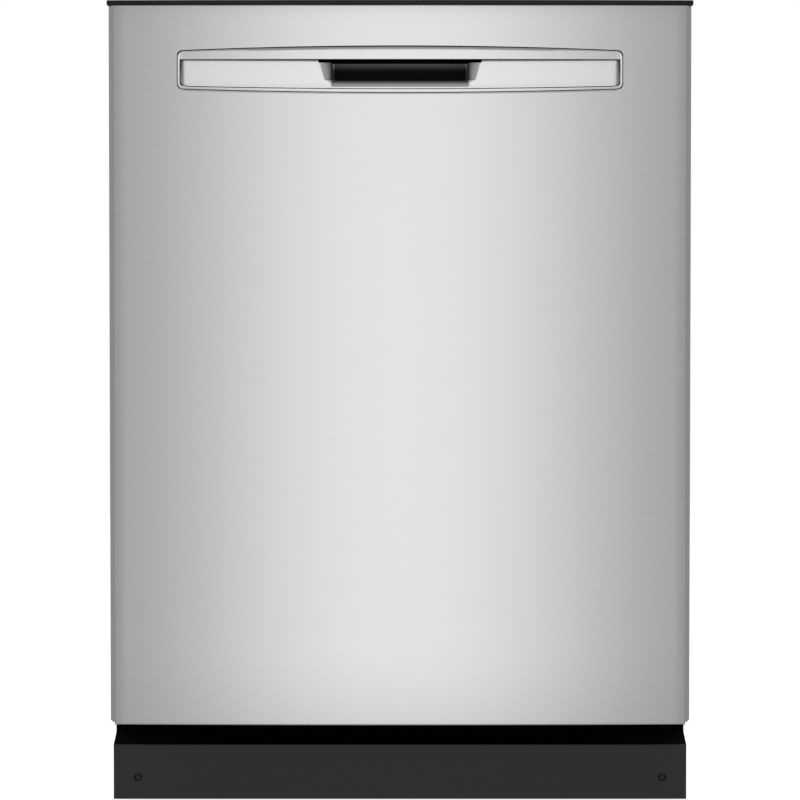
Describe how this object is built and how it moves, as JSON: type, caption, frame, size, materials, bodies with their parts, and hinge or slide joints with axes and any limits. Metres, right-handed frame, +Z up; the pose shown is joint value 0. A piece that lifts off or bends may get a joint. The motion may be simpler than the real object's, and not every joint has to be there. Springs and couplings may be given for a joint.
{
  "type": "built in dishwasher",
  "caption": "Built-in dishwasher with a bowed stainless door, recessed pocket handle, top controls, dark toe kick, tub, sliding racks and spray arms.",
  "frame": {"origin": "middle of the footprint, on the floor", "axes": "+Z up, +Y from the door towards the back, +X towards the right side seen from the front"},
  "size_m": [0.6088, 0.635, 0.84],
  "materials": {
    "stainless_front": "brushed along the width",
    "tub_steel": "satin stainless sheet",
    "filter_steel": "perforated satin",
    "element_steel": "dull, heat tinted",
    "track_steel": "rolled satin",
    "galvanised_steel": "zinc coated",
    "spring_steel": "oiled dark",
    "kick_paint": "fine textured satin black",
    "black_screw": "black oxide",
    "black_plastic": "smooth satin gloss",
    "silver_plastic": "metallic silver, satin",
    "button_plastic": "satin",
    "grey_plastic": "moulded",
    "dark_plastic": "moulded",
    "white_plastic": "moulded",
    "blue_plastic": "moulded",
    "arm_plastic": "moulded",
    "filter_plastic": "moulded, fine mesh",
    "leg_plastic": "moulded",
    "shelf_plastic": "moulded",
    "basket_plastic": "moulded",
    "wheel_plastic": "moulded",
    "rack_vinyl": "vinyl coating over wire",
    "seal_rubber": "extruded",
    "blanket_felt": "bitumen and felt mat"
  },
  "bodies": {
    "cabinet": {"tub_left_wall": "tub_steel", "tub_right_wall": "tub_steel", "tub_ceiling": "tub_steel", "tub_back_wall": "tub_steel", "tub_floor": "tub_steel", "tub_front_frame": "tub_steel", "door_gasket": "seal_rubber", "sound_blanket": "blanket_felt", "base_frame": "galvanised_steel", "toe_kick": "kick_paint", "toe_kick_screws": "black_screw", "hinge_brackets": "galvanised_steel", "door_springs": "spring_steel", "sump": "grey_plastic", "flat_filter": "filter_steel", "wash_pump": "dark_plastic", "drain_pump": "dark_plastic", "inlet_valve": "white_plastic", "junction_box": "galvanised_steel", "heating_element": "element_steel", "water_feed_tube": "grey_plastic", "mounting_brackets": "galvanised_steel", "rack_tracks": "track_steel"},
    "door": {"door_outer_panel": "stainless_front", "door_inner_panel": "tub_steel", "control_console": "black_plastic", "handle_insert": "silver_plastic", "door_latch": "dark_plastic", "detergent_dispenser": "grey_plastic", "door_vent": "grey_plastic", "door_insulation": "blanket_felt", "hinge_arms": "galvanised_steel", "door_bottom_seal": "seal_rubber"},
    "detergent_lid": {"detergent_lid": "dark_plastic"},
    "rinse_aid_cap": {"rinse_aid_cap": "blue_plastic"},
    "power_button": {"power_button": "button_plastic"},
    "cycle_button": {"cycle_button": "button_plastic"},
    "heated_dry_button": {"heated_dry_button": "button_plastic"},
    "delay_button": {"delay_button": "button_plastic"},
    "start_button": {"start_button": "button_plastic"},
    "lower_spray_arm": {"lower_spray_arm": "arm_plastic"},
    "top_spray_arm": {"top_spray_arm": "arm_plastic"},
    "filter_cup": {"filter_cup": "filter_plastic"},
    "overfill_float": {"overfill_float": "grey_plastic"},
    "front_left_leg": {"front_left_leg": "leg_plastic"},
    "front_right_leg": {"front_right_leg": "leg_plastic"},
    "rear_left_leg": {"rear_left_leg": "leg_plastic"},
    "rear_right_leg": {"rear_right_leg": "leg_plastic"},
    "slide_rails": {"slide_rails": "track_steel"},
    "upper_rack": {"upper_rack": "rack_vinyl"},
    "middle_spray_arm": {"middle_spray_arm": "arm_plastic"},
    "left_cup_shelf": {"left_cup_shelf": "shelf_plastic"},
    "right_cup_shelf": {"right_cup_shelf": "shelf_plastic"},
    "lower_rack": {"lower_rack": "rack_vinyl", "silverware_basket": "basket_plastic"},
    "left_tine_row": {"left_tine_row": "rack_vinyl"},
    "centre_tine_row": {"centre_tine_row": "rack_vinyl"},
    "front_rack_wheels": {"front_rack_wheels": "wheel_plastic"},
    "rear_rack_wheels": {"rear_rack_wheels": "wheel_plastic"}
  },
  "joints": [
    {"name": "door_hinge", "type": "hinge", "parent": "cabinet", "child": "door", "pos_m": [0, -0.275, 0.115], "axis": [1, 0, 0], "range_deg": [0, 90], "stiffness_Nm_per_rad": 25},
    {"name": "lower_rack_slide", "type": "slide", "parent": "cabinet", "child": "lower_rack", "axis": [0, -1, 0], "range_m": [0, 0.181]},
    {"name": "upper_rack_slide", "type": "slide", "parent": "cabinet", "child": "upper_rack", "axis": [0, -1, 0], "range_m": [0, 0.451]},
    {"name": "slide_rails_slide", "type": "slide", "parent": "cabinet", "child": "slide_rails", "axis": [0, -1, 0], "range_m": [0, 0.226]},
    {"name": "front_wheels_roll", "type": "hinge", "parent": "lower_rack", "child": "front_rack_wheels", "pos_m": [0, -0.114, 0.1483], "axis": [1, 0, 0], "range_deg": [0, 740]},
    {"name": "rear_wheels_roll", "type": "hinge", "parent": "lower_rack", "child": "rear_rack_wheels", "pos_m": [0, 0.15, 0.1483], "axis": [1, 0, 0], "range_deg": [0, 740]},
    {"name": "left_tine_fold", "type": "hinge", "parent": "lower_rack", "child": "left_tine_row", "pos_m": [-0.12, 0, 0.184], "axis": [0, -1, 0], "range_deg": [0, 80]},
    {"name": "centre_tine_fold", "type": "hinge", "parent": "lower_rack", "child": "centre_tine_row", "pos_m": [0.02, 0, 0.184], "axis": [0, -1, 0], "range_deg": [0, 80]},
    {"name": "left_shelf_fold", "type": "hinge", "parent": "upper_rack", "child": "left_cup_shelf", "pos_m": [-0.242, 0, 0.5535], "axis": [0, -1, 0], "range_deg": [0, 80]},
    {"name": "right_shelf_fold", "type": "hinge", "parent": "upper_rack", "child": "right_cup_shelf", "pos_m": [0.242, 0, 0.5535], "axis": [0, 1, 0], "range_deg": [0, 80]},
    {"name": "lower_arm_spin", "type": "hinge", "parent": "cabinet", "child": "lower_spray_arm", "pos_m": [0, 0.04, 0.145], "axis": [0, 0, 1], "continuous": true},
    {"name": "middle_arm_spin", "type": "hinge", "parent": "upper_rack", "child": "middle_spray_arm", "pos_m": [0, 0.04, 0.456], "axis": [0, 0, 1], "continuous": true},
    {"name": "top_arm_spin", "type": "hinge", "parent": "cabinet", "child": "top_spray_arm", "pos_m": [0, 0.04, 0.776], "axis": [0, 0, 1], "continuous": true},
    {"name": "filter_cup_twist", "type": "hinge", "parent": "cabinet", "child": "filter_cup", "pos_m": [0, -0.062, 0.1], "axis": [0, 0, 1], "range_deg": [0, 60]},
    {"name": "float_lift", "type": "slide", "parent": "cabinet", "child": "overfill_float", "axis": [0, 0, 1], "range_m": [0, 0.012]},
    {"name": "detergent_lid_slide", "type": "slide", "parent": "door", "child": "detergent_lid", "axis": [1, 0, 0], "range_m": [0, 0.072]},
    {"name": "rinse_cap_twist", "type": "hinge", "parent": "door", "child": "rinse_aid_cap", "pos_m": [0.084, -0.251, 0.4], "axis": [0, 1, 0], "range_deg": [0, 90]},
    {"name": "power_button_press", "type": "slide", "parent": "door", "child": "power_button", "axis": [0, 0, -1], "range_m": [0, 0.0012], "stiffness_N_per_m": 900, "springref_m": -0.0008},
    {"name": "cycle_button_press", "type": "slide", "parent": "door", "child": "cycle_button", "axis": [0, 0, -1], "range_m": [0, 0.0012], "stiffness_N_per_m": 900, "springref_m": -0.0008},
    {"name": "heated_dry_button_press", "type": "slide", "parent": "door", "child": "heated_dry_button", "axis": [0, 0, -1], "range_m": [0, 0.0012], "stiffness_N_per_m": 900, "springref_m": -0.0008},
    {"name": "delay_button_press", "type": "slide", "parent": "door", "child": "delay_button", "axis": [0, 0, -1], "range_m": [0, 0.0012], "stiffness_N_per_m": 900, "springref_m": -0.0008},
    {"name": "start_button_press", "type": "slide", "parent": "door", "child": "start_button", "axis": [0, 0, -1], "range_m": [0, 0.0012], "stiffness_N_per_m": 900, "springref_m": -0.0008},
    {"name": "front_left_leg_adjust", "type": "slide", "parent": "cabinet", "child": "front_left_leg", "axis": [0, 0, -1], "range_m": [0, 0.02]},
    {"name": "front_right_leg_adjust", "type": "slide", "parent": "cabinet", "child": "front_right_leg", "axis": [0, 0, -1], "range_m": [0, 0.02]},
    {"name": "rear_left_leg_adjust", "type": "slide", "parent": "cabinet", "child": "rear_left_leg", "axis": [0, 0, -1], "range_m": [0, 0.02]},
    {"name": "rear_right_leg_adjust", "type": "slide", "parent": "cabinet", "child": "rear_right_leg", "axis": [0, 0, -1], "range_m": [0, 0.02]}
  ],
  "couplings": [
    {"joint": "lower_rack_slide", "follows": "door_hinge", "m_per_rad": 0.11459},
    {"joint": "upper_rack_slide", "follows": "door_hinge", "m_per_rad": 0.28648},
    {"joint": "slide_rails_slide", "follows": "door_hinge", "m_per_rad": 0.14324},
    {"joint": "front_wheels_roll", "follows": "door_hinge", "ratio": 8.1851},
    {"joint": "rear_wheels_roll", "follows": "door_hinge", "ratio": 8.1851}
  ]
}
